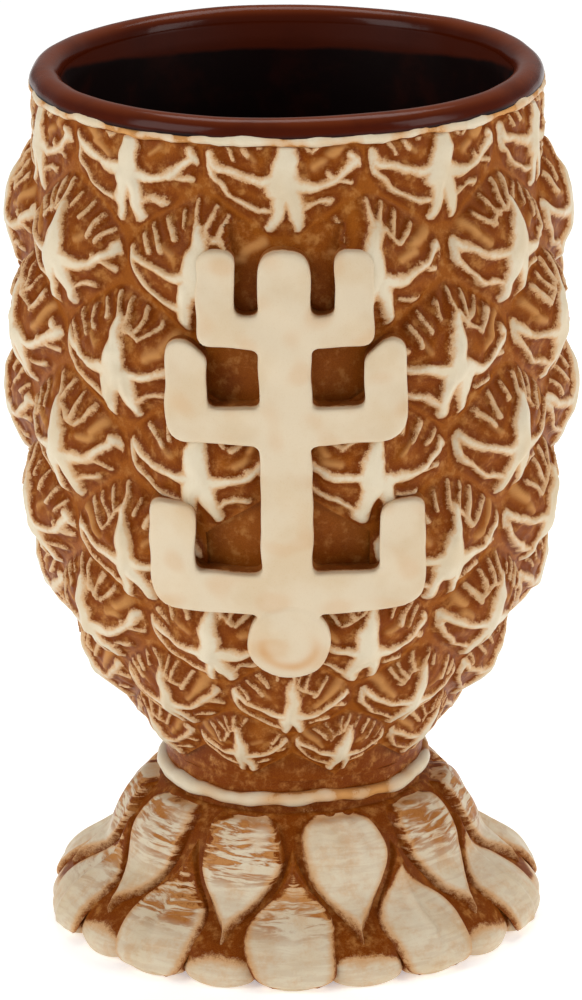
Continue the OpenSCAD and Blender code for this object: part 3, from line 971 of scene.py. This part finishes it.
def cord_tree():
    """A closed ridge round the axis whose height and thickness wander, and which is worn in patches."""
    tree, given = tree_with_inputs("ridge round the axis", [
        ("Radius", "Float", 0.04), ("Height", "Float", 0.1), ("Thickness", "Float", 0.001),
        ("Wander", "Float", 0.0), ("Swell", "Float", 0.0), ("Wavelength", "Float", 0.02),
        ("Seed", "Float", 1.0), ("Material", "Material", None)])
    scale = 1.0 / Number(tree, given["Wavelength"])
    patches = wandering(tree, Number(tree, given["Seed"]) + 7.0, scale * 1.6)
    section = add_node(tree, "GeometryNodeCurvePrimitiveCircle", {"mode": "RADIUS"},
                       {"Resolution": 20, "Radius": given["Thickness"]})
    body = add_node(tree, "GeometryNodeCurveToMesh", None, {
        "Curve": wandering_ring(tree, given, scale), "Profile Curve": section.outputs[0],
        "Scale": (patches - 0.5) * given["Swell"] + 1.0})
    place = add_node(tree, "GeometryNodeInputPosition").outputs[0]
    flat = add_node(tree, "ShaderNodeVectorMath", {"operation": "MULTIPLY"}, {0: place, 1: (1, 1, 0)})
    out = add_node(tree, "ShaderNodeVectorMath", {"operation": "LENGTH"}, {0: flat.outputs[0]})
    proud = (Number(tree, out.outputs["Value"]) - given["Radius"]) * 1000.0
    geometry = body.outputs[0]
    for name, value in (("relief", proud - 0.1 + (patches - 0.5) * 11.0), ("tint", 2.9 - patches * 5.0)):
        geometry = add_node(tree, "GeometryNodeStoreNamedAttribute",
                            {"data_type": "FLOAT", "domain": "POINT"},
                            {"Geometry": geometry, "Name": name, "Value": value}).outputs[0]
    finished(tree, geometry, given["Material"])
    return tree


def ridge(name, node, tree, material, swell, seed, **sizes):
    """A ridge grown round the axis; radius, height, thickness, wander and wavelength in millimetres."""
    piece = link(bpy.data.objects.new(name, bpy.data.meshes.new(name)))
    inputs = {key.capitalize(): value * MM for key, value in sizes.items()}
    grown(piece, tree, {**inputs, "Swell": swell, "Seed": seed, "Material": material})
    return hand_over(piece, "cream_relief", node)


# ---- Neck and foot ----

def neck(material):
    """A short hollow stem, drawn in a little, with the faint rings that turning leaves."""
    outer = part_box("neck")[1].x / MM
    heights = np.linspace(FOOT_TOP, NECK_TOP, 30)
    drawn_in = 0.12 * (1 - ((heights - heights.mean()) / (NECK_TOP - FOOT_TOP) * 2) ** 2)
    line = [(outer - d, z) for d, z in zip(drawn_in, heights)]
    line += [(FOOT_HOLLOW_R, z) for z in np.linspace(NECK_TOP, FOOT_TOP, 6)]

    def rings(a, r, z):
        out = r > FOOT_HOLLOW_R + 1.5
        wave = 0.04 * np.sin(z * 4.2 + 0.6 * np.sin(3 * a))
        dents = 0.2 * ripples(31, 9.0, r * np.sin(a), r * np.cos(a))
        return r + out * (wave + dents - 0.1), z

    def relief_layer(a, r, z):
        return -0.6 + 0.3 * ripples(32, 8.0, r * np.sin(a), r * np.cos(a), 3 * z)

    return coated(turned("neck.stem", line, 240, rings, relief_layer), material, "neck", "stained_clay")


def lobe(a):
    """1 at the middle of each lobe of the hem and 0 in the notches between; a lobe for each petal."""
    return np.abs(np.cos(PETALS_AROUND * a))


def foot(wall, material):
    """The foot casting: a hollow flared shell with a lobed hem, worn to bare clay at its edge."""
    heights = np.concatenate([np.arange(FOOT_TOP, 6, -0.5), np.arange(6, 0.2, -0.3), [0.12, 0.0]])
    outside = [(float(wall.radius(z)), z) for z in heights]
    outside[-2:] = [(outside[-2][0] - 0.25, 0.12), (outside[-1][0] - 0.7, 0.0)]
    inside = [(max(float(wall.radius(z)) - WALL_T - 0.5, FOOT_HOLLOW_R), z)
              for z in np.arange(0, FOOT_TOP + 0.1, 1.2)]
    inside.append((FOOT_HOLLOW_R, FOOT_TOP))

    def is_outside(r, z):
        return r > np.maximum(wall.radius(z) - 2.5, FOOT_HOLLOW_R + 0.5)

    def scallop(a, r, z):
        notch = 1 - lobe(a) ** 0.55
        wave = 0.15 * ripples(41, 10.0, r * np.sin(a), r * np.cos(a), z)
        raised = 1.5 * notch * smoothstep(3.2, 0.0, z)
        return r + is_outside(r, z) * (smoothstep(7.5, 2.5, z) * (0.1 - 1.7 * notch) + wave), z + raised

    def bare_hem(a, r, z):
        edge = 3.9 + 1.4 * lobe(a) ** 0.7 + 0.5 * ripples(42, 6.0, r * np.sin(a), r * np.cos(a))
        shown = np.clip((edge - z) * 0.9, -0.7, 1.4) - 1.8 * (1 - lobe(a)) ** 6
        return np.where(is_outside(r, z) | (z < 0.3), shown, -1.2)

    line = outside[::-1] + inside[::-1]
    return coated(turned("foot.base", line, 360, scallop, bare_hem), material, "foot", "stained_clay")


def petal_half_widths(outline, t, seed):
    """Half width in degrees at each step of a petal, from the bottom up, with the outline softened."""
    top, low = outline[0][0] * HK, outline[-1][0] * HK
    step = (top - low) / (len(t) - 1)
    reach = np.linspace(low - 4 * step, top + 4 * step, len(t) + 8)
    upwards = outline[::-1]
    drawn = np.interp(reach, [z * HK for z, _ in upwards], [width for _, width in upwards])
    bell = np.exp(-(np.arange(-4, 5) / 2.2) ** 2)
    return np.convolve(drawn, bell / bell.sum(), "valid") * (1 + 0.06 * ripples(seed, 0.7, t))


def petal_rise(long, s, t, z, side, degrees, number):
    """How far a petal stands out: crisp sides, arched across; a short one has a rib down its middle."""
    ends = smoothstep(0, 0.12, t) * smoothstep(1.0, 0.98 if long else 0.94, t)
    rise = (1.9 - 0.8 * smoothstep(8, 1, z)) * ends * (1 - 0.3 * s * s) * smoothstep(-0.05, 0.8, side)
    if not long:
        rib = np.exp(-(degrees / 1.3) ** 2)
        rise = rise * (0.8 + 0.3 * rib) * (0.7 + 0.3 * smoothstep(0.3, 0.7, t))
    return rise + 0.14 * ripples(70 + number, 5.0, degrees * 0.6, z) * smoothstep(0, 1, side)


def petal_pattern(wall, outline, number, long):
    """One petal in front of the axis: its points, faces, relief and wear.
    s runs across it from -1 to 1, and t down it from 0 to 1."""
    top, low = outline[0][0] * HK, outline[-1][0] * HK
    t = np.linspace(1, 0, PETAL_UP)
    half = petal_half_widths(outline, t, 60 + number + 9 * long)[:, None]
    s = np.linspace(-1, 1, PETAL_ACROSS)
    s = np.sign(s) * (1 - (1 - np.abs(s)) ** 1.35)
    s, z = np.meshgrid(s, top + (low - top) * t)
    t = (top - z) / (top - low)
    degrees = s * half + 0.9 * ripples(80 + number, 12.0, z)
    side = (1 - np.abs(s)) * radians(1) * half * wall.radius(z)
    rise = petal_rise(long, s, t, z, side, degrees, number)
    fade = 1.3 * smoothstep(0.16, 0.0, t) if long else 1.5 * smoothstep(0.62, 0.15, t)
    relief = np.minimum(side - 0.25, 1.8) - fade
    wear = 0.5 * number * (smoothstep(0.66, 0.3, t) if long else smoothstep(0.72, 0.5, t))
    middle = wall.place(0, float(z[PETAL_UP // 2, 0]), -PETAL_ROOT)
    points, faces = pad(wall.place(degrees, z, rise - 0.12), middle)
    return points, faces, np.append(relief.ravel(), STAINED), np.append(wear.ravel(), 0)


def petals(wall, node, tree, material, long, phase, seed):
    """A ring of long or short petals."""
    outline = LONG_OUTLINE if long else SHORT_OUTLINE
    patterns = [petal_pattern(wall, outline, number, long) for number in range(PETAL_PATTERNS)]
    piece = joined(node + ".pads", patterns, "wear")
    grown(piece, tree, {"Count": PETALS_AROUND, "Phase": phase, "Skip First": False, "Seed": seed,
                        "Unevenness": 0.5 * MM, "Material": material})
    return hand_over(piece, "petal_relief", node)


# ---- Room ----

# The camera's place is in metres, before it is turned round the mug; its angles are in degrees
CAMERA_PLACE = (-0.00014, -0.9, 0.365)
CAMERA_LENS = 200.5
CAMERA_TURN, CAMERA_DOWN, CAMERA_ROLL = 1.0, 17.98, -0.64


def area_light(name, place, aim_height, size, power, colour=(1, 1, 1)):
    """A soft lamp that looks at a height on the axis of the mug."""
    data = bpy.data.lights.new(name, "AREA")
    data.shape, data.size, data.size_y = "RECTANGLE", size[0], size[1]
    data.energy, data.color = power, colour
    lamp = link(bpy.data.objects.new(name, data))
    lamp.location = place
    aim = Vector((0, 0, aim_height)) - Vector(place)
    lamp.rotation_euler = aim.to_track_quat("-Z", "Y").to_euler()


def pale_floor():
    mesh = bpy.data.meshes.new("floor")
    mesh.from_pydata([(-4, -4, 0), (4, -4, 0), (4, 4, 0), (-4, 4, 0)], [], [(0, 1, 2, 3)])
    f = Finish("floor")
    cloud = f.noise(f.stretched(0.01, 0.01), 1.0, 2.0)
    f.set(Base_Color=f.mix(cloud, linear(250, 250, 249), linear(247, 247, 246)), Roughness=0.9,
          Emission_Color=(1, 1, 1, 1), Emission_Strength=0.42)
    mesh.materials.append(f.material)
    link(bpy.data.objects.new("floor", mesh))


def room():
    """White floor, pale surroundings and soft lamps on both sides."""
    pale_floor()
    world = bpy.data.worlds.new("studio")
    bpy.context.scene.world = world
    world.use_nodes = True
    sky = world.node_tree.nodes["Background"].inputs
    sky["Color"].default_value = (1, 1, 1, 1)
    sky["Strength"].default_value = 0.3
    area_light("left", (-0.75, -0.5, 0.55), 0.08, (0.5, 0.7), 4.6)
    area_light("right", (0.8, -0.35, 0.45), 0.08, (0.4, 0.6), 3.3, (1, 0.98, 0.97))
    area_light("top", (0.05, 0.35, 0.95), 0.1, (0.7, 0.4), 4.2)


def camera():
    """Long lens, from in front and a little to the right, looking down."""
    data = bpy.data.cameras.new("camera")
    data.sensor_fit, data.sensor_height, data.lens = "VERTICAL", 36, CAMERA_LENS
    eye = link(bpy.data.objects.new("camera", data))
    around = Matrix.Rotation(radians(CAMERA_TURN), 4, "Z")
    pitch = Matrix.Rotation(radians(90 - CAMERA_DOWN), 4, "X")
    roll = Matrix.Rotation(radians(CAMERA_ROLL), 4, "Z")
    eye.matrix_world = around @ Matrix.Translation(CAMERA_PLACE) @ pitch @ roll
    bpy.context.scene.camera = eye


# ---- The mug ----

bpy.context.scene.view_settings.view_transform = "Standard"
camera()
room()

cup_wall = Wall("bowl", NECK_TOP, WALL_TOP, 2.2)
foot_wall = Wall("foot", 0.0, FOOT_TOP, 0.8)
scale_clay = stained_clay_finish("stained_relief")
petal_clay = stained_clay_finish("brushed_petals", 1.7, 0.95)
glaze = brown_glaze_finish()

scale_ring = ring_tree(PATTERNS)
for row in range(1, ROWS + 1):
    scale_row(cup_wall, row, scale_ring, scale_clay)
totem(cup_wall, scale_clay)
bowl(cup_wall, scale_clay)
liner(cup_wall, glaze)
neck(scale_clay)
foot(foot_wall, petal_clay)

petal_ring = ring_tree(PETAL_PATTERNS)
petals(foot_wall, "long_petals", petal_ring, petal_clay, True, radians(PETAL_STEP / 2), 69)
petals(foot_wall, "short_petals", petal_ring, petal_clay, False, 0.0, 77)

cord = cord_tree()
ridge("rim_ridge.cord", "rim_ridge", cord, scale_clay, swell=1.8, seed=3.0,
      radius=42.0, height=146.4 * HK, thickness=0.85, wander=2.2, wavelength=9.0)
ridge("collar_bead.cord", "collar_bead", cord, scale_clay, swell=1.9, seed=5.0,
      radius=22.3, height=27.2 * HK, thickness=1.15, wander=5.5, wavelength=17.0)
